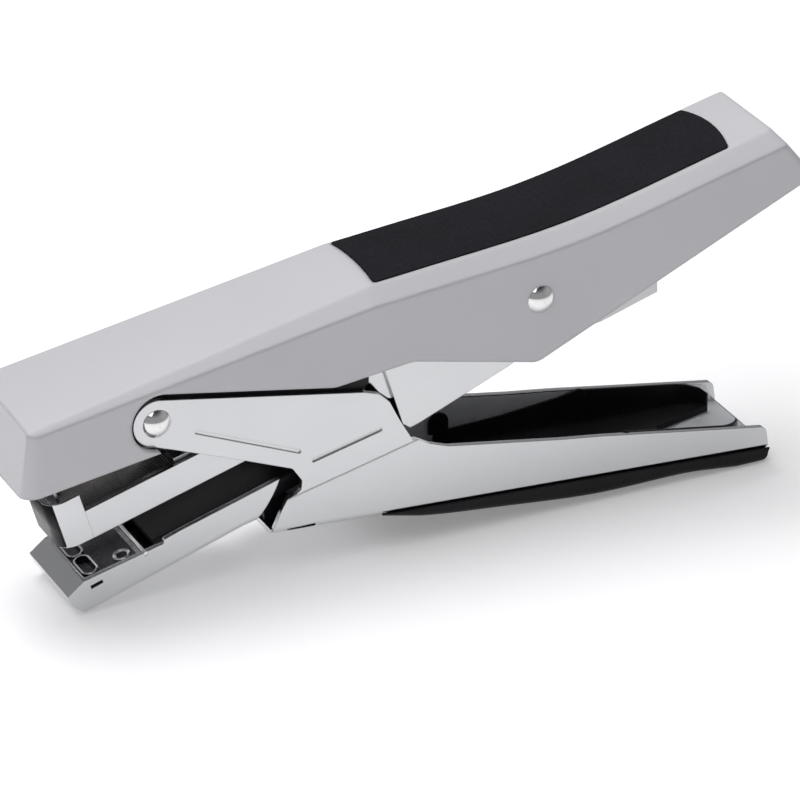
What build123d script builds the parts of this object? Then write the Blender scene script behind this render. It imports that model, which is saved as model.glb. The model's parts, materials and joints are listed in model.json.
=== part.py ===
from build123d import *
from math import asin, cos, radians, sin
import os

os.makedirs("parts", exist_ok=True)

# Plier stapler for 24/6 staples, standing at rest on its jaw and its lower grip.
# +X runs from the nose to the tail of the handles, Y across, +Z up, millimetres.
# The origin is on the table, under the middle of the object's box.

# ---------------------------------------------------------------- driving dimensions
front_pivot = (-60.7, 42.1)          # X, Z of the rivet that the lower handle turns on
rear_pivot = (25.6, 52.4)            # X, Z of the rivet that the anvil arm and the magazine turn on
magazine_angle = 16.25               # slope of the magazine at rest, degrees
magazine_front = (-71.8, 15.5)       # X, Z of the front lower edge of the magazine channel

cover_half = 15.0                    # half widths across Y
cover_wall = 1.2
ear_half = 13.5
sheet = 1.2                          # chromed sheet of the handle, the jaw and the pivot plates
frame_half = 12.0
frame_sheet = 1.1
handle_half = 12.4
jaw_half = 10.4
arm_half = 9.2
arm_sheet = 1.0
magazine_half = 7.5
magazine_sheet = 0.8

rivet_r = 2.0                        # shank of both pivot rivets
rivet_head_r = 3.1
rivet_head_h = 1.5
pivot_play = 0.05                    # radial play of what turns on a rivet
crown = 0.6                          # rise of the cover's top between its two long edges


def across(half):
    """Side-view plane at the near face of something `half` wide on each side."""
    return Plane.XZ.offset(half)


def finish(builder, name):
    """Labels a finished piece and writes it."""
    builder.part.label = name
    export_step(builder.part, f"parts/{name}.step")


# ---------------------------------------------------------------- helpers for rivets and holes
def cross_bore(centre, radius):
    """A round plug right across the object at (X, Z), to cut a pivot hole with."""
    with BuildPart() as bore:
        with BuildSketch(Plane.XZ):
            with Locations(centre):
                Circle(radius)
        extrude(amount=cover_half + 5, both=True)
    return bore.part


def domed_rivet(centre, half):
    """Pivot rivet: a shank across the object, with a domed head beyond `half` on each side."""
    axis_plane = Plane(origin=(centre[0], 0, centre[1]), x_dir=(1, 0, 0), z_dir=(0, 0, 1))
    dome_r = (rivet_head_r**2 + rivet_head_h**2) / (2 * rivet_head_h)
    tip = half + rivet_head_h
    middle = asin(rivet_head_r / dome_r) / 2
    dome_middle = (dome_r * sin(middle), tip - dome_r * (1 - cos(middle)))
    with BuildPart() as rivet:
        with BuildSketch(axis_plane):
            with BuildLine():
                Polyline((0, 0), (rivet_r, 0), (rivet_r, half), (rivet_head_r, half))
                ThreePointArc((rivet_head_r, half), dome_middle, (0, tip))
                Line((0, tip), (0, 0))
            make_face()
        revolve(axis=Axis((centre[0], 0, centre[1]), (0, 1, 0)))
        mirror(about=Plane.XZ)
    return rivet.part


def washer(centre, inner_y, outer_y, radius):
    """A pair of flat washers on a pivot rivet, one on each side."""
    with BuildPart() as pair:
        with BuildSketch(across(inner_y)):
            with Locations(centre):
                Circle(radius)
                Circle(rivet_r, mode=Mode.SUBTRACT)
        extrude(amount=outer_y - inner_y)
        mirror(about=Plane.XZ)
    return pair.part


# ---------------------------------------------------------------- upper cover
kink = (-12.0, 61.7)                 # X, Z where the straight nose slope meets the hand saddle
nose_slope = 0.2
saddle_x = 18.0                      # the saddle is straight up to here, then curves upwards
saddle_slope = 0.095
saddle_end_x = 51.4
saddle_radius = 195.0
nose_x = -90.4
tail_x = 90.4
tail_break = 81.2                    # where the cover's top turns down into the tail face
tail_corner_r = 1.2


def crest(x):
    """Height of the long edge between the cover's top and its bevel."""
    if x < kink[0]:
        return kink[1] + nose_slope * (x - kink[0])
    straight = kink[1] + saddle_slope * (x - kink[0])
    curved = min(max(x - saddle_x, 0), saddle_end_x - saddle_x)
    beyond = max(x - saddle_end_x, 0)
    return straight + curved**2 / (2 * saddle_radius) + beyond * curved / saddle_radius


roof_drop = 5.2                      # from the cover's crest down to the top of the frame's roof
frame_front = -85.0
frame_rear = 74.0
screw_places = (-55.0, 62.0)         # X of the screws that hold the cover to the frame
screw_r = 1.1
screw_head_r = 2.1
latch_pivot = (47.0, 58.0)
latch_pin_r = 1.5
screw_depth = 3.1
boss_r = 2.6


def roof(x):
    """Height of the top of the frame's roof."""
    return crest(x) - roof_drop


def bevel(x):
    """Width and height of the cover's bevel, which tapers towards the nose."""
    share = min(max((x - nose_x) / (kink[0] - nose_x), 0), 1)
    return 1.0 + 3.1 * share, 0.8 + 2.1 * share


def cover_section(x, inset, lower, low_z):
    """Closed outline across the cover at x: inset from its sides, lowered from its top."""
    width, height = bevel(x)
    half = cover_half - inset
    top = crest(x) - lower
    shoulder = half - width
    side = top - height + 0.35 * lower
    with BuildSketch(Plane.YZ.offset(x)) as section:
        with BuildLine():
            Polyline(
                (-shoulder, top), (-half, side), (-half, low_z), (half, low_z), (half, side), (shoulder, top),
            )
            ThreePointArc((shoulder, top), (0, top + crown), (-shoulder, top))
        make_face()
    return section.sketch


nose_stations = (-96.0, kink[0])
saddle_stations = (kink[0], 3.0, saddle_x, 29.0, 40.0, saddle_end_x, 70.0, 96.0)


def cover_form(inset, lower, low_z=20.0):
    """The cover's outer form, or a smaller one inside it, before its ends and bottom are cut."""
    with BuildPart() as form:
        loft([cover_section(x, inset, lower, low_z) for x in nose_stations], ruled=True)
        loft([cover_section(x, inset, lower, low_z) for x in saddle_stations])
    return form.part


def cover_side(inset):
    """Side outline of the cover's nose face, nose rounding and tail face."""
    tail = tail_x - 1.25 * inset
    with BuildSketch(Plane.XZ) as outline:
        with BuildLine():
            Polyline(
                (nose_x + 0.2 + inset, 20),
                (nose_x + inset, 31),
                (nose_x + 1.5 + inset, crest(nose_x) + crown + 1.1 - inset),
                (-60, crest(-60) + 3),
                (60, crest(60) + 6),
                (tail_break - 1.25 * inset, crest(tail_break) + crown + 0.1 - 0.2 * inset),
                (tail, 67.9),
                (tail, 20),
                close=True,
            )
        make_face()
        fillet(outline.vertices().sort_by(Axis.X)[1:4].sort_by(Axis.Y)[-1], 3.2)
        fillet(outline.vertices().sort_by(Axis.Y)[-1], 3.0)
    return outline.sketch


def cover_plan():
    """Plan outline with the rounded upright corners of the nose and the tail."""
    with BuildSketch(Plane.XY) as outline:
        with Locations(((nose_x + tail_x) / 2, 0)):
            Rectangle(tail_x - nose_x, 2 * cover_half)
        fillet(outline.vertices().group_by(Axis.X)[0], 3.8)
        fillet(outline.vertices().group_by(Axis.X)[-1], 2.5)
    return outline.sketch


# The bottom edge of the cover's sides, from the nose to the tail.  The notch lets the ear of
# the lower handle and the head of the front rivet through.
notch_centre = (front_pivot[0] + 0.3, front_pivot[1] + 0.8)
notch_r = 6.4
notch_top_turn = radians(10.4)
notch_foot_turn = radians(4.0)
notch_top = (
    notch_centre[0] + notch_r * sin(notch_top_turn), notch_centre[1] + notch_r * cos(notch_top_turn),
)
notch_foot = (
    notch_centre[0] - notch_r * sin(notch_foot_turn), notch_centre[1] - notch_r * cos(notch_foot_turn),
)
rim_end = (-21.5, 42.3)
arch_top = (-3.8, 44.4)
lobe_low = (25.0, 37.9)
tail_low = (tail_x + 1, 68.3)


def below_cover():
    """Everything under the cover's bottom edge, as a side-view outline."""
    with BuildSketch(Plane.XZ) as outline:
        with BuildLine():
            Polyline((nose_x - 3, 10), (nose_x - 3, 31.0), (nose_x, 31.3), (-60.6, 36.0), notch_foot)
            ThreePointArc(notch_foot, (notch_centre[0] - notch_r, notch_centre[1]), notch_top)
            Polyline(notch_top, rim_end, arch_top, lobe_low, tail_low, (tail_x + 1, 10), (nose_x - 3, 10))
        make_face()
        for corner, radius in ((rim_end, 6.0), (arch_top, 5.0), (lobe_low, 4.0)):
            fillet(outline.vertices().sort_by_distance(Vector(*corner))[0], radius)
    return outline.sketch


inlay_half = 10.4
inlay_front = -10.8
inlay_rear = 71.6
inlay_bulge = 1.5
inlay_depth = 1.1
inlay_proud = 0.25


def inlay_plan(gap):
    """Plan outline of the rubber inlay, grown by gap."""
    half = inlay_half + gap
    front = inlay_front - gap
    rear = inlay_rear + gap
    with BuildSketch(Plane.XY) as outline:
        with BuildLine():
            Polyline((rear, -half), (front, -half))
            ThreePointArc((front, -half), (front + 0.5, 0), (front, half))
            Polyline((front, half), (rear, half))
            ThreePointArc((rear, half), (rear + inlay_bulge, 0), (rear, -half))
        make_face()
        fillet(outline.vertices(), 0.8)
    return outline.sketch


with BuildPart() as rubber_inlay:
    add(cover_form(0, -inlay_proud))
    extrude(inlay_plan(0), amount=120, mode=Mode.INTERSECT)
    add(cover_form(-1.0, inlay_depth), mode=Mode.SUBTRACT)
finish(rubber_inlay, "rubber_inlay")


def cover_cavity():
    """The hollow inside the cover's sheet."""
    with BuildPart() as cavity:
        add(cover_form(cover_wall, 2.4, low_z=15.0))
        extrude(cover_side(1.6), amount=cover_half, both=True, mode=Mode.INTERSECT)
    return cavity.part


def inlay_recess():
    """The recess that the rubber inlay lies in."""
    with BuildPart() as recess:
        extrude(inlay_plan(0.1), amount=120)
        add(cover_form(-1.0, inlay_depth), mode=Mode.SUBTRACT)
    return recess.part


def screw_bosses():
    """Bosses under the cover's top that its screws turn into."""
    with BuildPart() as bosses:
        for x in screw_places:
            with BuildSketch(Plane.XY.offset(roof(x) + 0.7)):
                with Locations((x, 0)):
                    Circle(boss_r)
            extrude(amount=2.5)
            with BuildSketch(Plane.XY.offset(roof(x))):
                with Locations((x, 0)):
                    Circle(screw_r)
            extrude(amount=screw_depth, mode=Mode.SUBTRACT)
    return bosses.part


with BuildPart() as upper_cover:
    add(cover_form(0, 0))
    extrude(cover_side(0), amount=cover_half + 5, both=True, mode=Mode.INTERSECT)
    extrude(cover_plan(), amount=120, mode=Mode.INTERSECT)
    tail_edges = [
        edge for edge in upper_cover.edges()
        if tail_break < (edge @ 0.5).X < 89 and abs((edge @ 0.5).Y) > 11 and (edge @ 0.5).Z > 70
    ]
    fillet(tail_edges, tail_corner_r)
    add(cover_cavity(), mode=Mode.SUBTRACT)
    add(screw_bosses())
    extrude(below_cover(), amount=cover_half + 1, both=True, mode=Mode.SUBTRACT)
    add(inlay_recess(), mode=Mode.SUBTRACT)
    add(cross_bore(rear_pivot, rivet_r), mode=Mode.SUBTRACT)
finish(upper_cover, "upper_cover")


# ---------------------------------------------------------------- upper frame and its fixed pieces
def roof_line(drop):
    """Points of the roof's top line, front to rear, lowered by drop."""
    stations = (frame_front, kink[0], saddle_x, 35.0, saddle_end_x, frame_rear)
    return [(x, roof(x) - drop) for x in stations]


magazine_side = Plane(
    origin=(magazine_front[0], 0, magazine_front[1]),
    x_dir=(cos(radians(magazine_angle)), 0, sin(radians(magazine_angle))),
    z_dir=(0, -1, 0),
)                                    # local x runs back along the magazine, local y up from its floor


def magazine_point(along, up):
    """X, Z of a point given along the magazine from its front and up from its floor."""
    spot = magazine_side.from_local_coords(Vector(along, up, 0))
    return spot.X, spot.Z


def magazine_section(along):
    """Plane across the magazine, local x = Y, local y = up from the magazine's floor."""
    spot = magazine_point(along, 0)
    return Plane(origin=(spot[0], 0, spot[1]), x_dir=(0, 1, 0), z_dir=magazine_side.x_dir)


def magazine_floor(up):
    """Plane parallel to the magazine's floor, local x = back along it, local y = Y."""
    spot = magazine_point(0, up)
    return Plane(origin=(spot[0], 0, spot[1]), x_dir=magazine_side.x_dir, z_dir=magazine_side.y_dir)


blade_along = -5.0                   # middle of the driver blade, along the magazine from its front
blade_t = 0.6
blade_half = 6.1
blade_tip = 8.0                      # at rest, up from the magazine's floor
blade_top = 27.0
flange_t = 1.2
flange_bottom = 16.5
driver_rivet_up = 22.6
driver_rivet_y = 3.6
driver_rivet_r = 0.9
driver_rivet_head = (1.6, 0.5)       # radius, height

with BuildPart() as upper_frame:
    with BuildSketch(Plane.XZ):
        with BuildLine():
            Polyline(
                *roof_line(0),
                (frame_rear, 59.2), (35.0, 51.6), (9.0, 47.9), (-12.6, 47.6), (-12.6, 40.0), (-14.5, 38.6),
                (-62.0, 37.0), (frame_front, 33.3),
                close=True,
            )
        make_face()
    extrude(amount=frame_half, both=True)
    with BuildSketch(Plane.XZ):
        with BuildLine():
            Polyline(
                (frame_front - 1, roof(frame_front) - frame_sheet), *roof_line(frame_sheet)[1:],
                (frame_rear + 1, roof(frame_rear + 1) - frame_sheet),
                (frame_rear + 1, 20), (frame_front - 1, 20),
                close=True,
            )
        make_face()
    extrude(amount=frame_half - frame_sheet, both=True, mode=Mode.SUBTRACT)
    flange_face = blade_along + blade_t / 2
    with BuildSketch(magazine_side):
        with Locations((flange_face, flange_bottom)):
            Rectangle(flange_t, 12.0, align=(Align.MIN, Align.MIN))
    extrude(amount=blade_half + 0.9, both=True)
    add(cross_bore(front_pivot, rivet_r), mode=Mode.SUBTRACT)
    add(cross_bore(rear_pivot, rivet_r), mode=Mode.SUBTRACT)
    add(cross_bore(latch_pivot, latch_pin_r + pivot_play), mode=Mode.SUBTRACT)
    with BuildSketch(magazine_section(flange_face - 1)):
        with Locations((-driver_rivet_y, driver_rivet_up), (driver_rivet_y, driver_rivet_up)):
            Circle(driver_rivet_r)
    extrude(amount=flange_t + 2, mode=Mode.SUBTRACT)
    with BuildSketch(Plane.XY.offset(30)):
        with Locations(*[(x, 0) for x in screw_places]):
            Circle(screw_r + 0.2)
    extrude(amount=60, mode=Mode.SUBTRACT)
finish(upper_frame, "upper_frame")

with BuildPart() as driver_blade:
    with BuildSketch(magazine_section(blade_along - blade_t / 2)):
        with Locations((0, (blade_tip + blade_top) / 2)):
            Rectangle(2 * blade_half, blade_top - blade_tip)
        with Locations((-driver_rivet_y, driver_rivet_up), (driver_rivet_y, driver_rivet_up)):
            Circle(driver_rivet_r, mode=Mode.SUBTRACT)
    extrude(amount=blade_t)
finish(driver_blade, "driver_blade")

with BuildPart() as driver_rivets:
    for start, length, radius in (
        (blade_along - blade_t / 2 - driver_rivet_head[1], driver_rivet_head[1], driver_rivet_head[0]),
        (blade_along - blade_t / 2, blade_t + flange_t, driver_rivet_r),
        (flange_face + flange_t, driver_rivet_head[1], driver_rivet_head[0]),
    ):
        with BuildSketch(magazine_section(start)):
            with Locations((-driver_rivet_y, driver_rivet_up), (driver_rivet_y, driver_rivet_up)):
                Circle(radius)
        extrude(amount=length)
finish(driver_rivets, "driver_rivets")

with BuildPart() as cover_screws:
    for x in screw_places:
        with BuildSketch(Plane.XY.offset(roof(x) - frame_sheet - 0.6)):
            with Locations((x, 0)):
                Circle(screw_head_r)
        extrude(amount=-1.3)
        with BuildSketch(Plane.XY.offset(roof(x) - frame_sheet - 0.6)):
            with Locations((x, 0)):
                Circle(screw_r)
        extrude(amount=4.8)
finish(cover_screws, "cover_screws")

with BuildPart() as front_pivot_rivet:
    add(domed_rivet(front_pivot, ear_half + 0.05))
finish(front_pivot_rivet, "front_pivot_rivet")

with BuildPart() as rear_pivot_rivet:
    add(domed_rivet(rear_pivot, cover_half + 0.05))
finish(rear_pivot_rivet, "rear_pivot_rivet")

with BuildPart() as front_pivot_washers:
    add(washer(front_pivot, frame_half, ear_half - sheet - 0.05, 4.6))
finish(front_pivot_washers, "front_pivot_washers")

# ---------------------------------------------------------------- magazine
channel_height = 7.3
channel_start = -3.9
channel_length = 62.0
rail_half = 5.7
rail_sheet = 0.8
rail_top = 6.9
rail_front = -3.9
rail_length = 61.8
slot_half = 1.3
slot_start = 18.0
staple_half = 6.45
staple_wire = 0.55
staple_foot = 1.4
staple_end = 20.3
pusher_start = 20.6
pusher_length = 8.0
pusher_skirt = (5.85, 6.4)
rod_up = 3.55
rod_r = 0.8
plate_t = 1.5                        # magazine pivot plates
nose_front = -8.0
nose_t = 0.6
nose_corner_r = 4.0
nose_end = -0.8
nose_bottom = 0.9
nose_top = 11.9
seat_start = 52.6
seat_t = 0.9


with BuildPart() as magazine_channel:
    with BuildSketch(magazine_section(channel_start)) as profile:
        Rectangle(2 * magazine_half, channel_height, align=(Align.CENTER, Align.MIN))
        with Locations((0, magazine_sheet)):
            Rectangle(
                2 * (magazine_half - magazine_sheet), channel_height,
                align=(Align.CENTER, Align.MIN), mode=Mode.SUBTRACT,
            )
        fillet(profile.vertices().group_by(Axis.Y)[0], 0.7)
    extrude(amount=channel_length - channel_start)
finish(magazine_channel, "magazine_channel")

with BuildPart() as magazine_nose:
    with BuildSketch(magazine_floor(nose_bottom)) as plan:
        outer = magazine_half + nose_t
        with Locations((nose_front, 0)):
            Rectangle(nose_end - nose_front, 2 * outer, align=(Align.MIN, Align.CENTER))
        fillet(plan.vertices().group_by(Axis.X)[0], nose_corner_r)
        with BuildSketch(mode=Mode.SUBTRACT) as inside:
            with Locations((nose_front + nose_t, 0)):
                Rectangle(20, 2 * magazine_half, align=(Align.MIN, Align.CENTER))
            fillet(inside.vertices().group_by(Axis.X)[0], nose_corner_r - nose_t)
    extrude(amount=nose_top - nose_bottom)
finish(magazine_nose, "magazine_nose")

with BuildPart() as staple_rail:
    with BuildSketch(magazine_section(rail_front)):
        with Locations((0, magazine_sheet)):
            Rectangle(2 * rail_half, rail_top - magazine_sheet, align=(Align.CENTER, Align.MIN))
            Rectangle(
                2 * (rail_half - rail_sheet), rail_top - magazine_sheet - rail_sheet,
                align=(Align.CENTER, Align.MIN), mode=Mode.SUBTRACT,
            )
    extrude(amount=rail_length)
    with BuildSketch(magazine_floor(rail_top - 2 * rail_sheet)):
        with Locations((slot_start, 0)):
            Rectangle(60, 2 * slot_half, align=(Align.MIN, Align.CENTER))
    extrude(amount=3 * rail_sheet, mode=Mode.SUBTRACT)
finish(staple_rail, "staple_rail")

crown_low = rail_top + 0.05          # underside of the staples' crowns, up from the magazine's floor
with BuildPart() as staple_strip:
    with BuildSketch(magazine_section(rail_front)):
        with Locations((0, staple_foot)):
            Rectangle(
                2 * staple_half, crown_low + staple_wire - staple_foot, align=(Align.CENTER, Align.MIN),
            )
            Rectangle(
                2 * (staple_half - staple_wire), crown_low - staple_foot,
                align=(Align.CENTER, Align.MIN), mode=Mode.SUBTRACT,
            )
    extrude(amount=staple_end - rail_front)
finish(staple_strip, "staple_strip")

with BuildPart() as staple_pusher:
    with BuildSketch(magazine_section(pusher_start)):
        with Locations((0, 3.0)):
            Rectangle(2 * pusher_skirt[1], 5.3, align=(Align.CENTER, Align.MIN))
            Rectangle(2 * pusher_skirt[0], 4.1, align=(Align.CENTER, Align.MIN), mode=Mode.SUBTRACT)
        with Locations((0, 1.3)):
            Rectangle(6.4, 4.4, align=(Align.CENTER, Align.MIN))
            Rectangle(2 * (slot_half - 0.2), 6.6, align=(Align.CENTER, Align.MIN))
        with Locations((0, rod_up)):
            Circle(rod_r + 0.08, mode=Mode.SUBTRACT)
    extrude(amount=pusher_length)
finish(staple_pusher, "staple_pusher")

block_start = 58.0
with BuildPart() as magazine_end_block:
    with BuildSketch(magazine_section(block_start)):
        with Locations((0, magazine_sheet)):
            Rectangle(2 * (magazine_half - magazine_sheet), 6.4, align=(Align.CENTER, Align.MIN))
        with Locations((0, rod_up)):
            Circle(rod_r, mode=Mode.SUBTRACT)
    extrude(amount=channel_length - block_start)
finish(magazine_end_block, "magazine_end_block")

with BuildPart() as pusher_rod:
    with BuildSketch(magazine_section(12)):
        with Locations((0, rod_up)):
            Circle(rod_r)
    extrude(amount=channel_length + 0.6 - 12)
finish(pusher_rod, "pusher_rod")

# ---------------------------------------------------------------- springs
coil_r = 4.5                         # return spring: mean radius, wire radius, place, turns
coil_wire_r = 0.45
coil_x = -19.0
coil_low = 40.3
coil_turns = 6.0
pusher_coil_r = 1.95
pusher_wire_r = 0.25
pusher_coil_pitch = 2.4


def coil(start, direction, length, radius, wire_r, pitch):
    """A coil spring's wire, from its first turn's centre along direction."""
    with BuildPart() as spring:
        with BuildLine() as path:
            Helix(pitch=pitch, height=length, radius=radius, center=start, direction=direction)
        with BuildSketch(Plane(origin=path.line @ 0, z_dir=path.line % 0)):
            Circle(wire_r)
        sweep(is_frenet=True)
    return spring.part


with BuildPart() as pusher_spring:
    coil_start = pusher_start + pusher_length + 2 * pusher_wire_r
    coil_place = magazine_point(coil_start, rod_up)
    add(coil(
        (coil_place[0], 0, coil_place[1]), magazine_side.x_dir,
        block_start - coil_start - 2 * pusher_wire_r, pusher_coil_r, pusher_wire_r, pusher_coil_pitch,
    ))
finish(pusher_spring, "pusher_spring")

coil_high = roof(coil_x) - frame_sheet
with BuildPart() as return_spring:
    coil_length = coil_high - coil_low - 4 * coil_wire_r
    add(coil(
        (coil_x, 0, coil_low + 2 * coil_wire_r), (0, 0, 1), coil_length,
        coil_r, coil_wire_r, coil_length / coil_turns,
    ))
finish(return_spring, "return_spring")

with BuildPart() as spring_seat:
    with BuildSketch(Plane.XY.offset(30)):
        with Locations((coil_x, 0)):
            Circle(coil_r + 0.9)
    extrude(amount=coil_low - 30)
    with BuildSketch(Plane.XY.offset(coil_low)):
        with Locations((coil_x, 0)):
            Circle(coil_r - 1.5)
    extrude(amount=1.8)
    with BuildSketch(magazine_floor(channel_height)):
        with Locations((seat_start, 0)):
            Rectangle(channel_length - seat_start, 2 * magazine_half, align=(Align.MIN, Align.CENTER))
    extrude(amount=seat_t)
    with BuildSketch(magazine_floor(channel_height)):
        with Locations((channel_length / 2, 0)):
            Rectangle(2 * channel_length, 40)
    extrude(amount=-20, mode=Mode.SUBTRACT)
finish(spring_seat, "spring_seat")

# ---------------------------------------------------------------- plates that hold the magazine and the arm
lobe_r = 6.0
arm_rivet_places = ((-1.8, 29.0), (2.8, 30.6))
arm_rivet_r = 0.8
arm_plate_t = 1.0
arm_rivet_grip = 0.5                 # how far the rivets reach into the plates from inside
magazine_plate_outline = (
    magazine_point(42, 6.8), magazine_point(42, 1.2), magazine_point(59, 1.2),
    (-11.2, 38.6), (-8.9, 35.6), (-6.3, 33.4), (24.0, 46.6), rear_pivot, (22.5, 57.5), (-9.0, 46.5),
)
arm_plate_outline = (
    (-9.0, 44.0), (-3.9, 27.6), (-2.2, 26.4), (0.0, 27.1), (22.1, 36.3), (30.0, 48.3), rear_pivot,
    (22.6, 57.6),
)


def pivot_plates(outline, inner_y, thickness, corners):
    """A pair of side plates with a round lobe at the rear rivet."""
    with BuildPart() as pair:
        with BuildSketch(across(inner_y)) as side:
            with BuildLine():
                Polyline(*outline, close=True)
            make_face()
            for corner, radius in corners:
                fillet(side.vertices().sort_by_distance(Vector(corner[0], corner[1], 0))[0], radius)
            with Locations(rear_pivot):
                Circle(lobe_r)
                Circle(rivet_r + pivot_play, mode=Mode.SUBTRACT)
        extrude(amount=thickness)
        mirror(about=Plane.XZ)
    return pair.part


def arm_rivet_bores():
    """The bores for the rivets that join the arm to its pivot plates."""
    with BuildPart() as bores:
        with BuildSketch(Plane.XZ):
            with Locations(*arm_rivet_places):
                Circle(arm_rivet_r)
        extrude(amount=arm_half + arm_rivet_grip, both=True)
    return bores.part


with BuildPart() as magazine_pivot_plates:
    magazine_plate_corners = (((-11.2, 38.6), 0.6), ((-6.3, 33.4), 1.5))
    add(pivot_plates(magazine_plate_outline, magazine_half, plate_t, magazine_plate_corners))
finish(magazine_pivot_plates, "magazine_pivot_plates")

with BuildPart() as arm_pivot_plates:
    arm_plate_corners = (((22.1, 36.3), 6.0), ((-9.0, 44.0), 2.0))
    add(pivot_plates(arm_plate_outline, arm_half, arm_plate_t, arm_plate_corners))
    add(arm_rivet_bores(), mode=Mode.SUBTRACT)
finish(arm_pivot_plates, "arm_pivot_plates")

with BuildPart() as rear_pivot_bush:
    with BuildSketch(Plane.XZ):
        with Locations(rear_pivot):
            Circle(rivet_r + 1.2)
            Circle(rivet_r, mode=Mode.SUBTRACT)
    extrude(amount=magazine_half - 0.1, both=True)
finish(rear_pivot_bush, "rear_pivot_bush")

# ---------------------------------------------------------------- anvil arm and jaw
arm_slope = 0.3
arm_front = -60.0
arm_rear = 5.0
jaw_heel = (-32.2, 21.4)             # X, Z of the rear upper corner of the jaw's sides
arm_below_jaw = 0.6


def arm_top(x):
    """Height of the arm's outer top face."""
    return jaw_heel[1] - arm_below_jaw + arm_slope * (x - jaw_heel[0])


with BuildPart() as anvil_arm:
    with BuildSketch(Plane.XZ):
        with BuildLine():
            Polyline(
                (arm_front, arm_top(arm_front)), (arm_rear, arm_top(arm_rear)),
                (arm_rear, arm_top(arm_rear) - 3.0), (arm_front, arm_top(arm_front) - 4.6),
                close=True,
            )
        make_face()
    extrude(amount=arm_half, both=True)
    with BuildSketch(Plane.XZ):
        with BuildLine():
            Polyline(
                (arm_front - 1, arm_top(arm_front - 1) - arm_sheet),
                (arm_rear + 1, arm_top(arm_rear + 1) - arm_sheet), (arm_rear + 1, 0), (arm_front - 1, 0),
                close=True,
            )
        make_face()
    extrude(amount=arm_half - arm_sheet, both=True, mode=Mode.SUBTRACT)
    top_edges = [
        edge for edge in anvil_arm.edges()
        if edge.length > 60 and abs(abs((edge @ 0.5).Y) - arm_half) < 0.01
        and abs((edge @ 0.5).Z - arm_top((edge @ 0.5).X)) < 0.01
    ]
    fillet(top_edges, 1.2)
    add(arm_rivet_bores(), mode=Mode.SUBTRACT)
finish(anvil_arm, "anvil_arm")

with BuildPart() as arm_rivets:
    with BuildSketch(across(arm_half - arm_sheet)):
        with Locations(*arm_rivet_places):
            Circle(arm_rivet_r)
    extrude(amount=arm_sheet + arm_rivet_grip)
    mirror(about=Plane.XZ)
finish(arm_rivets, "arm_rivets")

jaw_front_low = (-75.7, 0.0)
jaw_rim_front = (-76.4, 7.8)
jaw_rim_step = (-58.5, 12.4)
jaw_heel_low = (-38.2, 12.2)
jaw_arc_middle = (-34.2, 17.2)       # on a circle about the front rivet
jaw_low_slope = 0.3305
rim_slope = (jaw_rim_step[1] - jaw_rim_front[1]) / (jaw_rim_step[0] - jaw_rim_front[0])
jaw_slot = (-73.5, 6.5)
jaw_slot_size = (2.8, 0.8)
cross_rod = (-62.5, 11.0)
cross_rod_r = 0.45


def jaw_low(x):
    """Height of the jaw's underside."""
    return jaw_front_low[1] + jaw_low_slope * (x - jaw_front_low[0])


with BuildPart() as jaw_channel:
    with BuildSketch(Plane.XZ):
        with BuildLine():
            Polyline(
                (-40.3, jaw_low(-40.3)), jaw_front_low, (-79.0, 2.6), (-80.0, 4.9), jaw_rim_front,
                jaw_rim_step, (-58.2, 13.3), (-54.9, 14.5), (-41.3, 18.6), jaw_heel,
            )
            ThreePointArc(jaw_heel, jaw_arc_middle, jaw_heel_low)
            Line(jaw_heel_low, (-40.3, jaw_low(-40.3)))
        make_face()
    extrude(amount=jaw_half, both=True)
    low_edges = [
        edge for edge in jaw_channel.edges()
        if edge.length > 30 and abs((edge @ 0.5).Z - jaw_low((edge @ 0.5).X)) < 0.01
    ]
    fillet(low_edges, 1.5)
    with BuildSketch(Plane.XZ):
        with BuildLine():
            Polyline(
                (-75.3, jaw_low(-75.3) + 1.3), (-77.8, 3.6), (-78.3, 4.8), (-74.9, 9.0), (-74.9, 30),
                (-20, 30), (-20, jaw_low(-20) + 1.3),
                close=True,
            )
        make_face()
    extrude(amount=jaw_half - sheet, both=True, mode=Mode.SUBTRACT)
    with BuildSketch(Plane.XZ):
        with Locations(Location((jaw_slot[0], jaw_slot[1], 0), (0, 0, 18))):
            Rectangle(*jaw_slot_size)
        with Locations(cross_rod):
            Circle(cross_rod_r)
    extrude(amount=jaw_half + 1, both=True, mode=Mode.SUBTRACT)
finish(jaw_channel, "jaw_channel")

with BuildPart() as jaw_cross_rod:
    with BuildSketch(Plane.XZ):
        with Locations(cross_rod):
            Circle(cross_rod_r)
    extrude(amount=jaw_half - 0.1, both=True)
finish(jaw_cross_rod, "jaw_cross_rod")

anvil_plane = Plane(origin=(-76.2, 0, 6.9), x_dir=(1, 0, rim_slope), z_dir=(-rim_slope, 0, 1))
anvil_length = 13.0
anvil_t = 1.0
pocket_along = 3.0
pocket_size = (2.6, 6.6)
pocket_y = 4.0
pocket_rim = 0.5
pocket_deep = 0.7
eyelet_along = 10.2
eyelet_y = 6.9
eyelet_r = 1.9

with BuildPart() as anvil_plate:
    with BuildSketch(anvil_plane):
        Rectangle(anvil_length, 2 * (jaw_half - sheet), align=(Align.MIN, Align.CENTER))
    extrude(amount=-anvil_t)
    with BuildSketch(anvil_plane):
        with Locations((pocket_along, -pocket_y), (pocket_along, pocket_y)):
            RectangleRounded(pocket_size[0] + 2 * pocket_rim, pocket_size[1] + 2 * pocket_rim, 1.7)
    extrude(amount=0.3)
    with BuildSketch(anvil_plane.offset(0.4)):
        with Locations((pocket_along, -pocket_y), (pocket_along, pocket_y)):
            RectangleRounded(*pocket_size, 1.2)
    extrude(amount=-pocket_deep - 0.4, mode=Mode.SUBTRACT)
finish(anvil_plate, "anvil_plate")

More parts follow.
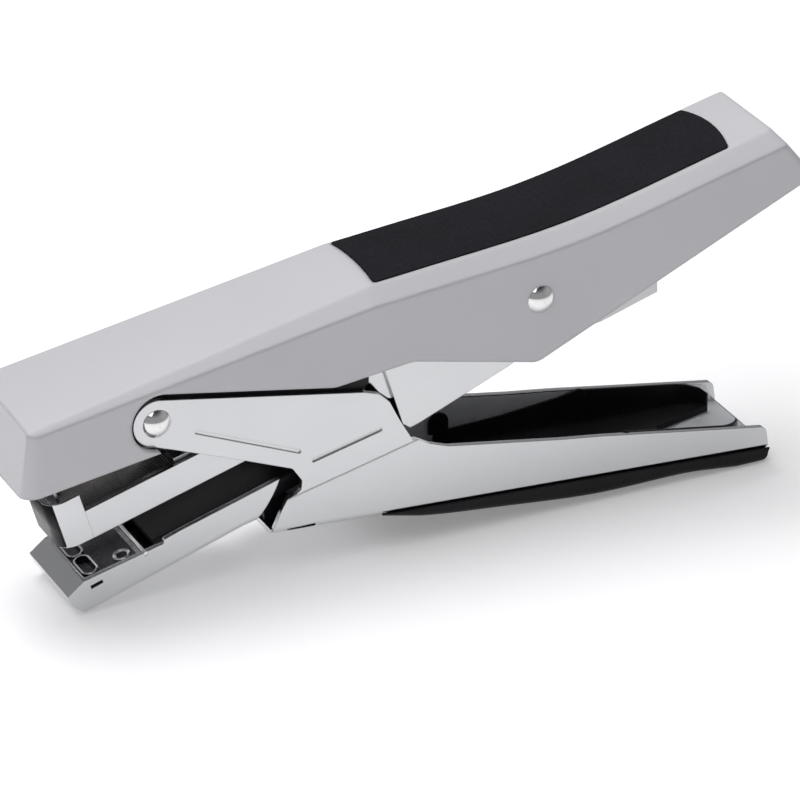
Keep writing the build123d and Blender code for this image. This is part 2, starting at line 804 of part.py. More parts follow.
with BuildPart() as anvil_eyelets:
    with BuildSketch(anvil_plane):
        with Locations((eyelet_along, -eyelet_y), (eyelet_along, eyelet_y)):
            Circle(eyelet_r)
            Circle(eyelet_r - 0.7, mode=Mode.SUBTRACT)
    extrude(amount=0.6)
finish(anvil_eyelets, "anvil_eyelets")

# ---------------------------------------------------------------- lower handle
ear_r = 5.2
saddle_nose = (-32.6, 16.8)          # pushes up on the arm's web as the handle closes
saddle_nose_r = 2.5
saddle_half = 7.9
saddle_front = -34.6
saddle_rear = -23.5
saddle_rivet_x = -26.5
saddle_rivet_y = (-4.5, 4.5)
saddle_rivet_r = 1.2
joggle_start = (-1.8, 24.8)
joggle_end = (-31.6, 17.6)
joggle_step = ear_half - handle_half
web_front = (-35.1, 9.6)
web_rear = (83.0, 2.8)
web_slope = (web_rear[1] - web_front[1]) / (web_rear[0] - web_front[0])
web_section = Plane(origin=(web_front[0], 0, web_front[1]), x_dir=(0, 1, 0), z_dir=(1, 0, web_slope))
bend_r = 1.5
groove_ends = (((-52.0, 38.2), (-29.1, 28.5)), ((-25.9, 25.7), (-10.6, 29.4)))
groove_wide = 0.8
groove_deep = 0.4
relief_centre = (-28.2, 9.9)
relief_size = (6.4, 0.8)
ear_top = (-59.8, 47.2)
wall_corners = (
    ((-28.7, 19.6), 0.8), ((-28.5, 21.6), 1.2), ((-30.7, 24.9), 1.5), ((-11.0, 37.8), 2.5), ((82.4, 8.45), 1.6),
)


def web_line(x):
    """Height of the underside of the lower handle's web."""
    return web_front[1] + web_slope * (x - web_front[0])


def handle_side():
    """Side outline of the lower handle's ear and wall."""
    with BuildSketch(Plane.XZ) as outline:
        with BuildLine():
            Polyline(
                front_pivot, ear_top, (-14.3, 38.9), (-11.0, 37.8), (-8.6, 35.5), (-6.3, 30.8),
                (-3.25, 25.4), (-1.0, 24.3), (1.3, 22.9), (5.7, 21.3), (32.0, 16.8), (41.6, 15.4),
                (82.4, 8.45), (83.0, 4.7), web_rear, web_front, (-32.6, 15.2), (-31.2, 17.6),
                (-28.7, 19.6), (-28.5, 21.6), (-30.7, 24.9), (-41.5, 29.3), (-57.6, 35.55), (-63.2, 37.6),
                close=True,
            )
        make_face()
        for corner, radius in wall_corners:
            fillet(outline.vertices().sort_by_distance(Vector(corner[0], corner[1], 0))[0], radius)
        with Locations(front_pivot):
            Circle(ear_r)
            Circle(rivet_r + pivot_play, mode=Mode.SUBTRACT)
    return outline.sketch


joggle_plane = Plane(
    origin=(joggle_end[0], 0, joggle_end[1]), x_dir=(0, 1, 0),
    z_dir=(joggle_start[0] - joggle_end[0], 0, joggle_start[1] - joggle_end[1]),
)                                    # across the bend line, local x is Y, local y away from the web


def joggled_sheet():
    """The near sheet, bent outwards along the bend line, before it is cut to its outline."""
    inner = handle_half - sheet
    half = joggle_step / 2
    with BuildPart() as bent:
        with BuildSketch(joggle_plane):
            with BuildLine():
                Polyline(
                    (-inner, -80), (-inner, 0.5 - half), (-inner - joggle_step, 0.5 + half),
                    (-inner - joggle_step, 80), (-ear_half, 80), (-ear_half, half),
                    (-handle_half, -half), (-handle_half, -80),
                    close=True,
                )
            make_face()
        extrude(amount=150, both=True)
    return bent.part


with BuildPart() as lower_handle:
    extrude(handle_side(), amount=ear_half + 1)
    add(joggled_sheet(), mode=Mode.INTERSECT)
    with BuildSketch(across(ear_half)):
        for start, end in groove_ends:
            SlotCenterPoint(((start[0] + end[0]) / 2, (start[1] + end[1]) / 2), end, groove_wide)
    extrude(amount=-groove_deep, mode=Mode.SUBTRACT)
    mirror(about=Plane.XZ)
    with BuildSketch(Plane.XZ):
        with BuildLine():
            Polyline(
                web_front, web_rear, (web_rear[0], web_rear[1] + sheet), (web_front[0], web_front[1] + sheet),
                close=True,
            )
        make_face()
    extrude(amount=handle_half - sheet / 2, both=True)
    with BuildSketch(web_section):
        with Locations((bend_r / 2 - handle_half, bend_r / 2), (handle_half - bend_r / 2, bend_r / 2)):
            Rectangle(bend_r, bend_r)
        with Locations((bend_r - handle_half, bend_r), (handle_half - bend_r, bend_r)):
            Circle(bend_r, mode=Mode.SUBTRACT)
    extrude(amount=150, both=True, mode=Mode.SUBTRACT)
    with BuildSketch(Plane.XZ):
        with Locations(relief_centre):
            Rectangle(*relief_size)
    extrude(amount=handle_half + 1, both=True, mode=Mode.SUBTRACT)
    with BuildSketch(Plane.XY):
        with Locations(*[(saddle_rivet_x, y) for y in saddle_rivet_y]):
            Circle(saddle_rivet_r)
    extrude(amount=web_line(saddle_rivet_x) + 3, mode=Mode.SUBTRACT)
finish(lower_handle, "lower_handle")

grip_half = 12.9
grip_lip = 0.6
grip_front = -9.4
grip_rear = (82.9, 2.4)
with BuildPart() as lower_grip:
    with BuildSketch(Plane.XZ):
        with BuildLine():
            Polyline(
                grip_rear, (83.3, web_line(83.3) + grip_lip),
                (grip_front, web_line(grip_front) + grip_lip), (-9.2, 7.9), (-0.7, 5.9),
            )
            Spline(
                (-0.7, 5.9), (18.2, 3.6), (42.2, 1.35), (55.0, 1.3), (66.6, 1.0),
                tangents=((1, -0.18), (1, -0.1)),
            )
            Polyline((66.6, 1.0), (75.5, 0.0), (80.8, 0.0))
            ThreePointArc((80.8, 0.0), (82.2, 0.7), grip_rear)
        make_face()
    extrude(amount=grip_half, both=True)
    low_edges = [
        edge for edge in lower_grip.edges()
        if abs(abs((edge @ 0.5).Y) - grip_half) < 0.01 and (edge @ 0.5).Z < web_line((edge @ 0.5).X) - 0.4
        and edge.length > 5
    ]
    fillet(low_edges, 1.6)
    with BuildSketch(Plane.XZ):
        with BuildLine():
            Polyline(
                (-50, web_line(-50)), (100, web_line(100)), (100, 30), (-50, 30),
                close=True,
            )
        make_face()
    extrude(amount=handle_half + 0.02, both=True, mode=Mode.SUBTRACT)
finish(lower_grip, "lower_grip")

liner_half = handle_half - sheet - 0.05
liner_rim = 0.55
liner_front = 13.65
liner_rear = 79.0
liner_floor = 1.4                    # thickness over the web
liner_cut = ((59.0, 0), (83.0, -8.0), (83.0, 8.0))
liner_rims = ((liner_front, 11.7), (29.8, 12.2), (44.3, 13.5), (48.2, 14.3), (77.5, 9.4), (liner_rear, 8.3))


def liner_plan(inset):
    """Plan outline of the liner, rounded at its rear."""
    with BuildSketch(Plane.XY) as outline:
        with Locations((liner_front - 3 * inset, 0)):
            Rectangle(
                liner_rear - liner_front + 2 * inset, 2 * (liner_half - inset),
                align=(Align.MIN, Align.CENTER),
            )
        fillet(outline.vertices().group_by(Axis.X)[-1], 7.0 - inset)
    return outline.sketch


def liner_trough():
    """The open space inside the liner, over its floor."""
    with BuildPart() as trough:
        extrude(liner_plan(liner_rim), amount=30)
        with BuildSketch(Plane.XZ):
            with BuildLine():
                Polyline(
                    (-30, web_line(-30) + sheet + liner_floor), (99, web_line(99) + sheet + liner_floor),
                    (99, 40), (-30, 40),
                    close=True,
                )
            make_face()
        extrude(amount=handle_half, both=True, mode=Mode.INTERSECT)
    return trough.part


with BuildPart() as grip_liner:
    extrude(liner_plan(0), amount=30)
    with BuildSketch(Plane.XZ):
        with BuildLine():
            Polyline(
                (liner_front, web_line(liner_front) + sheet), *liner_rims,
                (liner_rear, web_line(liner_rear) + sheet),
                close=True,
            )
        make_face()
    extrude(amount=handle_half, both=True, mode=Mode.INTERSECT)
    add(liner_trough(), mode=Mode.SUBTRACT)
    with BuildSketch(Plane.XY) as cut:
        with BuildLine():
            Polyline(*liner_cut, close=True)
        make_face()
        fillet(cut.vertices().sort_by(Axis.X)[0], 1.5)
    extrude(amount=30, mode=Mode.SUBTRACT)
finish(grip_liner, "grip_liner")

with BuildPart() as thrust_saddle:
    with BuildSketch(Plane.XZ):
        with BuildLine():
            Polyline(
                (saddle_front, web_line(saddle_front) + sheet), (saddle_rear, web_line(saddle_rear) + sheet),
                (saddle_rear, web_line(saddle_rear) + sheet + 1.4),
                (saddle_nose[0] + saddle_nose_r, saddle_nose[1]),
                (saddle_nose[0] - saddle_nose_r, saddle_nose[1]),
                close=True,
            )
        make_face()
        with Locations(saddle_nose):
            Circle(saddle_nose_r)
    extrude(amount=saddle_half, both=True)
    with BuildSketch(Plane.XY):
        with Locations(*[(saddle_rivet_x, y) for y in saddle_rivet_y]):
            Circle(saddle_rivet_r)
    extrude(amount=web_line(saddle_rivet_x) + sheet + 2.2, mode=Mode.SUBTRACT)
finish(thrust_saddle, "thrust_saddle")

with BuildPart() as saddle_rivets:
    with BuildSketch(Plane.XY.offset(web_line(saddle_rivet_x) - 0.75)):
        with Locations(*[(saddle_rivet_x, y) for y in saddle_rivet_y]):
            Circle(1.7 * saddle_rivet_r)
    extrude(amount=0.6)
    with BuildSketch(Plane.XY.offset(web_line(saddle_rivet_x) - 0.75)):
        with Locations(*[(saddle_rivet_x, y) for y in saddle_rivet_y]):
            Circle(saddle_rivet_r)
    extrude(amount=sheet + 2.9)
finish(saddle_rivets, "saddle_rivets")

# ---------------------------------------------------------------- loading latch
latch_y = (12.7, 13.5)
with BuildPart() as loading_latch:
    with BuildSketch(across(latch_y[0])):
        with BuildLine():
            Polyline(
                (44.0, 58.0), (39.5, 50.0), (38.4, 44.0), (38.2, 43.0), (40.8, 43.4), (53.9, 47.5), (53.7, 53.0),
                (50.0, 58.0),
                close=True,
            )
        make_face()
        with Locations(latch_pivot):
            Circle(3.0)
            Circle(latch_pin_r, mode=Mode.SUBTRACT)
    extrude(amount=latch_y[1] - latch_y[0])
    mirror(about=Plane.XZ)
finish(loading_latch, "loading_latch")

with BuildPart() as latch_pin:
    with BuildSketch(Plane.XZ):
        with Locations(latch_pivot):
            Circle(latch_pin_r)
    extrude(amount=latch_y[1], both=True)
finish(latch_pin, "latch_pin")
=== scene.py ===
import json
import math

import bmesh
import bpy
from mathutils import Matrix, Vector


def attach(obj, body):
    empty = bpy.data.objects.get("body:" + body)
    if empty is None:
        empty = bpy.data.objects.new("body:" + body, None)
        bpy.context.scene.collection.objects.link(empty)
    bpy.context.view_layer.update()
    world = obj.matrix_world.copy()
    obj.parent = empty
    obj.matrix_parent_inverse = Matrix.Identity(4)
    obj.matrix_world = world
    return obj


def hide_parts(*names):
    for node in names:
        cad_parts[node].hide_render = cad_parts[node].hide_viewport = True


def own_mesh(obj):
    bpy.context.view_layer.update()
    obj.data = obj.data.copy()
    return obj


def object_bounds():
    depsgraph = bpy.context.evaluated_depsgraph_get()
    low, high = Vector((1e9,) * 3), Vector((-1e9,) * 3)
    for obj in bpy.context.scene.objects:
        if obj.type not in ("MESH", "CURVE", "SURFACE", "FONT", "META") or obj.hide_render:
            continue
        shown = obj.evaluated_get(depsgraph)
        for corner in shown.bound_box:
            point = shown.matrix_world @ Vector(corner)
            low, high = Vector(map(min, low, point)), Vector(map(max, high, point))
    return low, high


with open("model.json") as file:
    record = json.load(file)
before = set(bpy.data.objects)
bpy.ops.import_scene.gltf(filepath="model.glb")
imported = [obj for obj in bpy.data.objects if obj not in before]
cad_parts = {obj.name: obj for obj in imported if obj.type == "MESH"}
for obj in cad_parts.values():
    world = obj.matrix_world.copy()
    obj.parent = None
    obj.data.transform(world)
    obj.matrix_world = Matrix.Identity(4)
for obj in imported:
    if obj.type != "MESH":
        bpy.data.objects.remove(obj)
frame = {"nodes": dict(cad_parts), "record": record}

# Looks of the plier stapler: camera, light, floor, materials and the fine detail that the
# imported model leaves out.  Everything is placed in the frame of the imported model.  The places
# of lights and floor are in metres, and the sizes of detail pieces are in millimetres, times MM.

MM = 0.001
FLOOR_SIZE = 3.0
FLOOR_DROP = 0.0002                  # keeps the floor just under the pieces that stand on it
cad_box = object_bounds()


# ---------------------------------------------------------------- camera, light and floor
def add_camera():
    azimuth, elevation, roll = (math.radians(a) for a in (-26.0, 27.4, 0.18))
    distance = 1.05
    target = Vector((0.4, 0.0, 27.55)) * MM
    back = Vector((
        math.sin(azimuth) * math.cos(elevation),
        -math.cos(azimuth) * math.cos(elevation),
        math.sin(elevation),
    ))
    data = bpy.data.cameras.new("camera")
    data.sensor_width = 36.0
    data.lens = 225.0
    data.clip_end = 20.0
    camera = bpy.data.objects.new("camera", data)
    bpy.context.scene.collection.objects.link(camera)
    turn = back.to_track_quat("Z", "Y").to_matrix() @ Matrix.Rotation(roll, 3, "Z")
    camera.matrix_world = Matrix.Translation(target + distance * back) @ turn.to_4x4()
    bpy.context.scene.camera = camera
    bpy.context.scene.view_settings.view_transform = "Standard"


def add_area_light(name, place, aim, size, power):
    data = bpy.data.lights.new(name, "AREA")
    data.energy = power
    data.size = size
    lamp = bpy.data.objects.new(name, data)
    bpy.context.scene.collection.objects.link(lamp)
    direction = Vector(place) - Vector(aim)
    lamp.matrix_world = Matrix.Translation(place) @ direction.to_track_quat("Z", "Y").to_matrix().to_4x4()


def add_lights():
    middle = (0, 0, 0.03)
    add_area_light("key", (-0.45, -0.35, 1.0), middle, 0.7, 2.6)
    add_area_light("top", (-0.20, 0.30, 1.10), middle, 0.9, 11.0)
    add_area_light("fill", (0.9, -0.5, 0.5), middle, 0.8, 0.1)
    world = bpy.data.worlds.new("studio")
    bpy.context.scene.world = world
    world.use_nodes = True
    nodes = world.node_tree.nodes
    links = world.node_tree.links
    ramp = nodes.new("ShaderNodeValToRGB")
    ramp.color_ramp.elements[0].position = 0.74
    ramp.color_ramp.elements[0].color = (0.76, 0.76, 0.78, 1)
    ramp.color_ramp.elements[1].position = 0.93
    ramp.color_ramp.elements[1].color = (0.10, 0.10, 0.11, 1)
    split = nodes.new("ShaderNodeSeparateXYZ")
    place = nodes.new("ShaderNodeTexCoord")
    half = nodes.new("ShaderNodeMath")
    half.operation = "MULTIPLY_ADD"
    half.inputs[1].default_value = 0.5
    half.inputs[2].default_value = 0.5
    links.new(place.outputs["Generated"], split.inputs[0])
    links.new(split.outputs["Z"], half.inputs[0])
    links.new(half.outputs[0], ramp.inputs[0])
    links.new(ramp.outputs[0], nodes["Background"].inputs["Color"])
    nodes["Background"].inputs["Strength"].default_value = 0.42


def add_floor():
    mesh = bpy.data.meshes.new("floor")
    height = cad_box[0][2] - FLOOR_DROP
    corners = [(x * FLOOR_SIZE, y * FLOOR_SIZE, height) for x, y in ((-1, -1), (1, -1), (1, 1), (-1, 1))]
    mesh.from_pydata(corners, [], [(0, 1, 2, 3)])
    floor = bpy.data.objects.new("floor", mesh)
    bpy.context.scene.collection.objects.link(floor)
    mesh.materials.append(floor_material())


# ---------------------------------------------------------------- materials
class Shader:
    """A Principled material with a few building blocks for its texture."""

    def __init__(self, name, color, roughness, metallic=0.0, edge=0.25, specular=0.5):
        self.material = bpy.data.materials.new(name)
        self.material.use_nodes = True
        self.nodes = self.material.node_tree.nodes
        self.links = self.material.node_tree.links
        self.out = self.nodes["Principled BSDF"]
        self.out.inputs["Base Color"].default_value = (*color, 1)
        self.out.inputs["Roughness"].default_value = roughness
        self.out.inputs["Metallic"].default_value = metallic
        self.out.inputs["Specular IOR Level"].default_value = specular
        self.color = color
        self.place = self.nodes.new("ShaderNodeTexCoord")
        self.normal = None
        if edge:
            bevel = self.nodes.new("ShaderNodeBevel")
            bevel.samples = 6
            bevel.inputs["Radius"].default_value = edge * MM
            self.normal = bevel.outputs[0]
            self.links.new(self.normal, self.out.inputs["Normal"])

    def noise(self, scale, detail=3.0, stretch=(1, 1, 1)):
        """Noise over the object's own metres; scale is features per metre."""
        mapping = self.nodes.new("ShaderNodeMapping")
        mapping.inputs["Scale"].default_value = stretch
        texture = self.nodes.new("ShaderNodeTexNoise")
        texture.inputs["Scale"].default_value = scale
        texture.inputs["Detail"].default_value = detail
        texture.inputs["Roughness"].default_value = 0.5
        self.links.new(self.place.outputs["Object"], mapping.inputs["Vector"])
        self.links.new(mapping.outputs[0], texture.inputs["Vector"])
        return texture.outputs["Fac"]

    def spread(self, value, low, high):
        """Maps a noise value, which is mostly between 0.3 and 0.7, to the range low to high."""
        node = self.nodes.new("ShaderNodeMapRange")
        for socket, number in zip(("From Min", "From Max", "To Min", "To Max"), (0.3, 0.7, low, high)):
            node.inputs[socket].default_value = number
        self.links.new(value, node.inputs["Value"])
        return node.outputs["Result"]

    def vary_color(self, value, other, amount):
        """Mixes the base colour towards another by a share that follows value."""
        mix = self.nodes.new("ShaderNodeMix")
        mix.data_type = "RGBA"
        mix.inputs["A"].default_value = (*self.color, 1)
        mix.inputs["B"].default_value = (*other, 1)
        self.links.new(self.spread(value, 0.0, amount), mix.inputs["Factor"])
        self.links.new(mix.outputs["Result"], self.out.inputs["Base Color"])

    def vary_roughness(self, value, low, high):
        self.links.new(self.spread(value, low, high), self.out.inputs["Roughness"])

    def bump(self, value, height, strength=1.0):
        """Raises the surface by height millimetres where value is 1."""
        node = self.nodes.new("ShaderNodeBump")
        node.inputs["Strength"].default_value = strength
        node.inputs["Distance"].default_value = height * MM
        self.links.new(value, node.inputs["Height"])
        if self.normal:
            self.links.new(self.normal, node.inputs["Normal"])
        self.normal = node.outputs[0]
        self.links.new(self.normal, self.out.inputs["Normal"])


def floor_material():
    shader = Shader("floor_paper", (0.93, 0.93, 0.94), 0.7, edge=0)
    shader.vary_color(shader.noise(60), (0.90, 0.90, 0.91), 0.5)
    shader.out.inputs["Emission Color"].default_value = (1.0, 1.0, 1.0, 1)
    shader.out.inputs["Emission Strength"].default_value = 0.22
    shader.bump(shader.noise(1500), 0.02)
    return shader.material


def cover_material():
    shader = Shader("cover_plastic", (0.545, 0.54, 0.565), 0.42, edge=1.4)
    shader.vary_color(shader.noise(35, detail=4), (0.575, 0.57, 0.595), 0.6)
    shader.vary_roughness(shader.noise(900, detail=2), 0.36, 0.50)
    shader.bump(shader.noise(4200, detail=1.5), 0.012, 0.6)
    return shader.material


def rubber_material():
    shader = Shader("inlay_rubber", (0.009, 0.008, 0.011), 0.75, edge=0.35, specular=0.12)
    shader.vary_color(shader.noise(80, detail=4), (0.013, 0.012, 0.016), 0.7)
    shader.vary_roughness(shader.noise(1200), 0.66, 0.82)
    shader.bump(shader.noise(3800, detail=2), 0.03, 0.7)
    return shader.material


def black_steel_material():
    shader = Shader("black_steel", (0.008, 0.008, 0.009), 0.32, edge=0.2, specular=0.2)
    shader.vary_color(shader.noise(120), (0.016, 0.016, 0.018), 0.6)
    shader.vary_roughness(shader.noise(300), 0.28, 0.36)
    shader.bump(shader.noise(900), 0.003, 0.4)
    return shader.material


def black_plastic_material():
    shader = Shader("black_plastic", (0.006, 0.006, 0.007), 0.40, edge=0.35, specular=0.15)
    shader.vary_color(shader.noise(90), (0.013, 0.013, 0.015), 0.6)
    shader.vary_roughness(shader.noise(800), 0.27, 0.42)
    shader.bump(shader.noise(3200), 0.012, 0.5)
    return shader.material


def chrome_material():
    shader = Shader("chrome_sheet", (0.62, 0.625, 0.635), 0.18, metallic=1.0, edge=0.28)
    shader.vary_color(shader.noise(40, detail=5), (0.57, 0.575, 0.59), 0.5)
    shader.vary_roughness(shader.noise(260, detail=5, stretch=(0.25, 1, 1)), 0.12, 0.24)
    shader.bump(shader.noise(110, detail=2), 0.035, 0.5)
    return shader.material


def rivet_material():
    shader = Shader("chrome_rivet", (0.80, 0.79, 0.79), 0.10, metallic=1.0, edge=0.1)
    shader.vary_roughness(shader.noise(900), 0.07, 0.16)
    shader.bump(shader.noise(500), 0.01, 0.4)
    return shader.material


def steel_material(name, color, low, high):
    shader = Shader(name, color, (low + high) / 2, metallic=1.0, edge=0.1)
    shader.vary_color(shader.noise(150), tuple(0.8 * c for c in color), 0.5)
    shader.vary_roughness(shader.noise(600, stretch=(1, 6, 1)), low, high)
    shader.bump(shader.noise(1500, stretch=(1, 8, 1)), 0.006, 0.5)
    return shader.material


def latch_material():
    shader = Shader("latch_plastic", (0.74, 0.74, 0.75), 0.32, edge=0.3)
    shader.vary_color(shader.noise(60), (0.78, 0.78, 0.79), 0.5)
    shader.bump(shader.noise(3500), 0.01, 0.5)
    return shader.material


def dark_anvil_material():
    shader = Shader("dark_anvil", (0.045, 0.045, 0.05), 0.24, metallic=0.9, edge=0.15)
    shader.vary_color(shader.noise(260), (0.07, 0.07, 0.075), 0.6)
    shader.vary_roughness(shader.noise(500), 0.20, 0.34)
    shader.bump(shader.noise(700), 0.004, 0.5)
    return shader.material


def give_materials():
    makers = {
        "cover_plastic": cover_material(),
        "inlay_rubber": rubber_material(),
        "black_steel": black_steel_material(),
        "chrome_sheet": chrome_material(),
        "chrome_rivet": rivet_material(),
        "spring_steel": steel_material("spring_steel", (0.52, 0.53, 0.55), 0.2, 0.32),
        "tool_steel": steel_material("tool_steel", (0.44, 0.45, 0.47), 0.22, 0.36),
        # staple_wire: its colour, 0.22, is far darker than bare steel wire. This is a painted dark
        # reflection of the black frame roof above the staples.
        "staple_wire": steel_material("staple_wire", (0.22, 0.21, 0.20), 0.12, 0.20),
        "black_plastic": black_plastic_material(),
        "latch_plastic": latch_material(),
    }
    slots = {entry["node"]: entry["material_slot"] for entry in frame["record"]["subparts"]}
    makers["dark_anvil"] = dark_anvil_material()
    slots["anvil_plate"] = "dark_anvil"
    # Rough satin chrome for the handle's inner faces. Its colour, 0.84, is lighter than the chrome sheet's
    # as painted light falling on those faces from above.
    makers["satin_chrome"] = steel_material("satin_chrome", (0.84, 0.85, 0.87), 0.5, 0.62)
    for node, obj in frame["nodes"].items():
        material = makers[slots[node]]
        obj.data.materials.clear()
        obj.data.materials.append(material)
    return makers


# ---------------------------------------------------------------- detail pieces
class Slope:
    """Side-view axes along a sloping piece: along it, up from it, and across."""

    def __init__(self, x, z, rise):
        self.origin = Vector((x, 0, z))
        self.along = Vector((1, 0, rise)).normalized()
        self.up = Vector((-rise, 0, 1)).normalized()

    def point(self, along, across, up):
        spot = self.origin + along * self.along + up * self.up
        return Vector((spot.x, across, spot.z)) * MM


MAGAZINE = Slope(-71.8, 15.5, math.tan(math.radians(16.25)))
ANVIL = Slope(-76.2, 6.9, 4.6 / 17.9)


def add_piece(name, vertices, faces, body, slot, smooth=True, material=None):
    """A detail piece that moves with a body."""
    mesh = bpy.data.meshes.new(name)
    mesh.from_pydata(vertices, [], faces)
    work = bmesh.new()
    work.from_mesh(mesh)
    bmesh.ops.recalc_face_normals(work, faces=work.faces)
    work.to_mesh(mesh)
    work.free()
    for face in mesh.polygons:
        face.use_smooth = smooth
    piece = bpy.data.objects.new(name, mesh)
    bpy.context.scene.collection.objects.link(piece)
    mesh.materials.append(materials[material or slot])
    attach(piece, body)
    return piece


def tube(rings, closed=False):
    """Vertices and faces of a skin over rings of points, closed on itself or capped at both ends."""
    size = len(rings[0])
    vertices = [point for ring in rings for point in ring]
    faces = []
    for i in range(len(rings) if closed else len(rings) - 1):
        here = i * size
        after = (i + 1) % len(rings) * size
        for j in range(size):
            beyond = (j + 1) % size
            faces.append((here + j, here + beyond, after + beyond, after + j))
    if not closed:
        faces.append(tuple(range(size)))
        faces.append(tuple(len(vertices) - size + j for j in range(size)))
    return vertices, faces


def side_name(name, side):
    return f"{name}_{'near' if side < 0 else 'far'}"


def rounded_loop(long, wide, radius, steps=6):
    """Points and outward directions round a rounded rectangle, in its own plane."""
    loop = []
    for turn, (sx, sy) in enumerate(((1, 1), (-1, 1), (-1, -1), (1, -1))):
        for k in range(steps + 1):
            angle = math.radians(90 * (turn + k / steps))
            out = (math.cos(angle), math.sin(angle))
            spot = (sx * (long / 2 - radius) + radius * out[0], sy * (wide / 2 - radius) + radius * out[1])
            loop.append((spot, out))
    return loop


def rim_rings(along, across, size, middle, thick):
    """Rings of points for a rolled rim on the anvil plate, round a rounded rectangle.

    size holds its length, width and corner radius.  middle is the height of the rim's centre
    line above the plate's lower face, and thick is half the rim's own height.
    """
    half_width = 0.3
    rings = []
    for (a, b), out in rounded_loop(*size):
        ring = []
        for k in range(8):
            angle = math.radians(45 * k)
            reach = half_width * math.cos(angle)
            up = middle + thick * math.sin(angle)
            ring.append(ANVIL.point(along + a + reach * out[0], across + b + reach * out[1], up))
        rings.append(ring)
    return rings


def add_anvil_rims():
    """Bright rolled rims round the clinching pockets and the eyelets."""
    for side in (-1, 1):
        pocket = rim_rings(3.0, side * 4.0, (3.3, 7.3, 1.6), 0.2, 0.15)
        eyelet = rim_rings(10.2, side * 6.9, (3.3, 3.3, 1.64), 0.62, 0.24)
        for name, rings in (("pocket_rim", pocket), ("eyelet_rim", eyelet)):
            add_piece(side_name(name, side), *tube(rings, closed=True), "anvil_arm", "chrome_rivet")


def add_nose_guard():
    """Black lacquered guard round the front of the magazine's nose."""
    radius = 4.0
    half = 8.15
    front = -8.05
    thick = 0.14
    low = 1.2
    high = 11.8
    path = []
    for k in range(9):
        angle = math.radians(-132 - 48 * k / 8)
        path.append((front + radius + radius * math.cos(angle), -half + radius + radius * math.sin(angle)))
    path += [(a, -b) for a, b in reversed(path)]
    rings = []
    for index, (a, b) in enumerate(path):
        before = path[max(index - 1, 0)]
        after = path[min(index + 1, len(path) - 1)]
        run = Vector((after[0] - before[0], after[1] - before[1])).normalized()
        out = (-run.y, run.x)
        section = ((0, low), (thick, low), (thick, high), (0, high))
        rings.append([MAGAZINE.point(a + far * out[0], b + far * out[1], up) for far, up in section])
    add_piece("nose_guard", *tube(rings), "magazine", "black_steel")


def add_liner_tabs():
    """Black snap tabs of the liner on the inner faces of the lower handle's walls."""
    foot = 11.4
    inner, outer = 10.55, 11.16
    for side in (-1, 1):
        for index, (x, z, radius) in enumerate(((14.8, 13.9, 2.3), (48.6, 12.6, 1.8))):
            outline = [(x - radius, foot)]
            for k in range(13):
                angle = math.radians(180 - 15 * k)
                outline.append((x + radius * math.cos(angle), z + radius * math.sin(angle)))
            outline.append((x + radius, foot))
            rings = [[Vector((a, side * across, b)) * MM for a, b in outline] for across in (inner, outer)]
            name = side_name(f"liner_tab_{index + 1}", side)
            add_piece(name, *tube(rings), "lower_handle", "black_plastic", smooth=False)


def web_top(x):
    """Height just above the upper face of the lower handle's web, which slopes down to the rear."""
    front, height = -35.1, 9.6
    fall = 0.05758
    sheet = 1.2
    gap = 0.03
    return height - fall * (x - front) + sheet + gap


def add_plating():
    """Duller, rougher plating on the inner faces of the lower handle; its colour is lighter than the
    chrome sheet's as painted light falling from above.
    """
    film = 0.02
    front, rear = 57.0, 82.6
    half = 11.1
    corners = ((front, -half), (rear, -half), (rear, half), (front, half))
    rings = [[Vector((x, y, web_top(x) + lift)) * MM for x, y in corners] for lift in (0.0, film)]
    add_piece("web_plating", *tube(rings), "lower_handle", "chrome_sheet", False, "satin_chrome")
    outline = (
        (2.5, web_top(2.5)), (2.5, 22.0), (5.7, 20.9), (32.0, 16.4), (41.6, 15.0), (80.4, 8.4),
        (81.8, 5.0), (81.8, web_top(81.8)),
    )
    inner = 11.165
    for side in (-1, 1):
        rings = [[Vector((x, side * y, z)) * MM for x, z in outline] for y in (inner, inner + film)]
        name = side_name("wall_plating", side)
        add_piece(name, *tube(rings), "lower_handle", "chrome_sheet", False, "satin_chrome")


def coil_rings(start, axis, across, length, radius, wire, turns):
    """Rings of points along a coil spring's wire; across holds two directions square to its axis."""
    rings = []
    steps = 20 * turns
    for k in range(steps + 1):
        angle = 2 * math.pi * turns * k / steps
        out = math.cos(angle) * across[0] + math.sin(angle) * across[1]
        centre = start + axis * (length * k / steps) + radius * out
        ring = []
        for j in range(6):
            turn = math.radians(60 * j)
            ring.append((centre + wire * (math.cos(turn) * out + math.sin(turn) * axis)) * MM)
        rings.append(ring)
    return rings


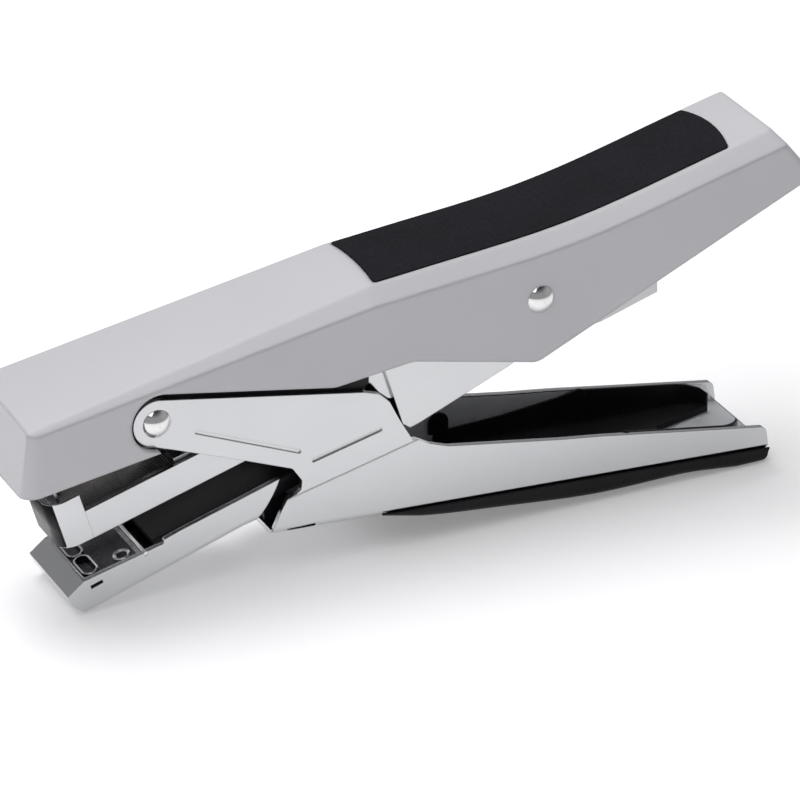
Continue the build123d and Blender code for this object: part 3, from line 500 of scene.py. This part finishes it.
def add_springs():
    """The two coil springs, in place of the imported ones."""
    forward = Vector((1, 0, 0))
    side = Vector((0, 1, 0))
    rise = Vector((0, 0, 1))
    start = Vector((-19.0, 0, 41.2))
    rings = coil_rings(start, rise, (forward, side), length=11.9, radius=4.5, wire=0.45, turns=6)
    spring = add_piece("handle_spring", *tube(rings), "upper_handle", "spring_steel")
    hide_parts("return_spring")
    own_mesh(spring)

    rod_up = 3.55
    slope = MAGAZINE.along
    start = MAGAZINE.point(29.2, 0, rod_up) / MM
    rings = coil_rings(start, slope, (side, MAGAZINE.up), length=28.4, radius=1.95, wire=0.25, turns=12)
    spring = add_piece("follower_spring", *tube(rings), "magazine", "spring_steel")
    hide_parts("pusher_spring")
    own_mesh(spring)


def staple_section(shrink):
    """Ten points across and up, for a staple's outline with its wire made thinner by shrink."""
    low, high, half, wire = 1.4, 7.5, 6.45, 0.55
    corner = 0.5
    outer = half - shrink
    inner = half - wire + shrink
    top = high - shrink
    under = high - wire + shrink
    return (
        (-outer, low), (-outer, top - corner), (-outer + corner, top), (outer - corner, top),
        (outer, top - corner), (outer, low), (inner, low), (inner, under), (-inner, under), (-inner, low),
    )


def add_staples():
    """The strip of staples as separate wires with a fine groove between each two."""
    start, end = -3.9, 20.3
    count = 44
    pitch = (end - start) / count
    chamfer = 0.09
    groove = 0.07
    corners = 10
    vertices = []
    faces = []
    for index in range(count):
        first = start + index * pitch
        last = first + pitch
        layers = ((first, groove), (first + chamfer, 0.0), (last - chamfer, 0.0), (last, groove))
        for along, shrink in layers:
            vertices += [MAGAZINE.point(along, across, up) for across, up in staple_section(shrink)]
        for layer in range(3):
            here = corners * (4 * index + layer)
            after = here + corners
            for j in range(corners):
                beyond = (j + 1) % corners
                faces.append((here + j, here + beyond, after + beyond, after + j))
    for end_ring in (0, corners * (4 * count - 1)):
        for cap in ((0, 1, 8, 9), (1, 2, 8), (2, 3, 7, 8), (3, 4, 7), (4, 5, 6, 7)):
            faces.append(tuple(end_ring + corner for corner in cap))
    strip = add_piece("staples", vertices, faces, "magazine", "staple_wire", smooth=False)
    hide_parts("staple_strip")


add_camera()
add_lights()
add_floor()
materials = give_materials()
add_anvil_rims()
add_nose_guard()
add_liner_tabs()
add_plating()
add_springs()
add_staples()
